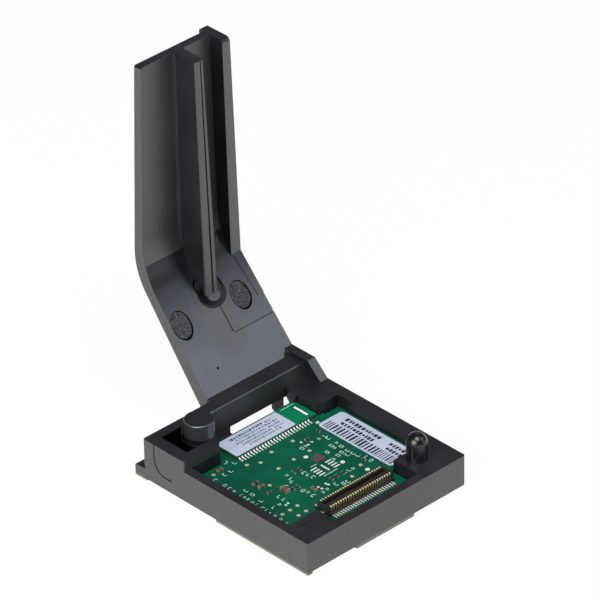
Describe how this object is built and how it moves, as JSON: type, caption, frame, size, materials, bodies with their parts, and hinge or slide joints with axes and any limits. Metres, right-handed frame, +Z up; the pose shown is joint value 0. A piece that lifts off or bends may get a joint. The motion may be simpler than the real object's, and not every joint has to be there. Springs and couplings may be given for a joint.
{
  "type": "wifi module",
  "caption": "Radio module on a circuit board in a shallow moulded tray with a board-to-board connector, a locating pin and a tall cranked pull handle.",
  "frame": {"origin": "axis of the locating pin, at the land it stands on", "axes": "+Z up along the pin and away from the tray's underside, +Y from the front wall towards the handle, +X along the front wall to the right as the connector is faced"},
  "size_m": [0.052, 0.0822, 0.0952],
  "materials": {
    "carrier_plastic": "fine moulded texture, dark grey",
    "solder_mask": "green lacquer, semi gloss",
    "connector_plastic": "black, smooth",
    "contact_gold": "gold plated, tails tinned",
    "tin": "bright tin",
    "label_paper": "white label stock",
    "chip_plastic": "dark grey package",
    "brown_ceramic": "brown ceramic between tinned ends",
    "black_ceramic": "black film between tinned ends"
  },
  "bodies": {
    "root": {"carrier": "carrier_plastic", "circuit_board": "solder_mask", "connector_housing": "connector_plastic", "connector_contacts_front": "contact_gold", "connector_contacts_back": "contact_gold", "connector_end_tabs": "tin", "radio_module_board": "solder_mask", "radio_label": "label_paper", "radio_solder_joints": "tin", "barcode_label": "label_paper", "controller_chip": "chip_plastic", "capacitor_a": "brown_ceramic", "capacitor_b": "brown_ceramic", "capacitor_c": "brown_ceramic", "capacitor_d": "brown_ceramic", "capacitor_e": "brown_ceramic", "capacitor_f": "brown_ceramic", "capacitor_g": "brown_ceramic", "capacitor_h": "brown_ceramic", "capacitor_i": "brown_ceramic", "capacitor_j": "brown_ceramic", "resistor_a": "black_ceramic", "resistor_b": "black_ceramic", "resistor_c": "black_ceramic", "resistor_d": "black_ceramic", "resistor_e": "black_ceramic", "resistor_f": "black_ceramic"}
  },
  "joints": []
}
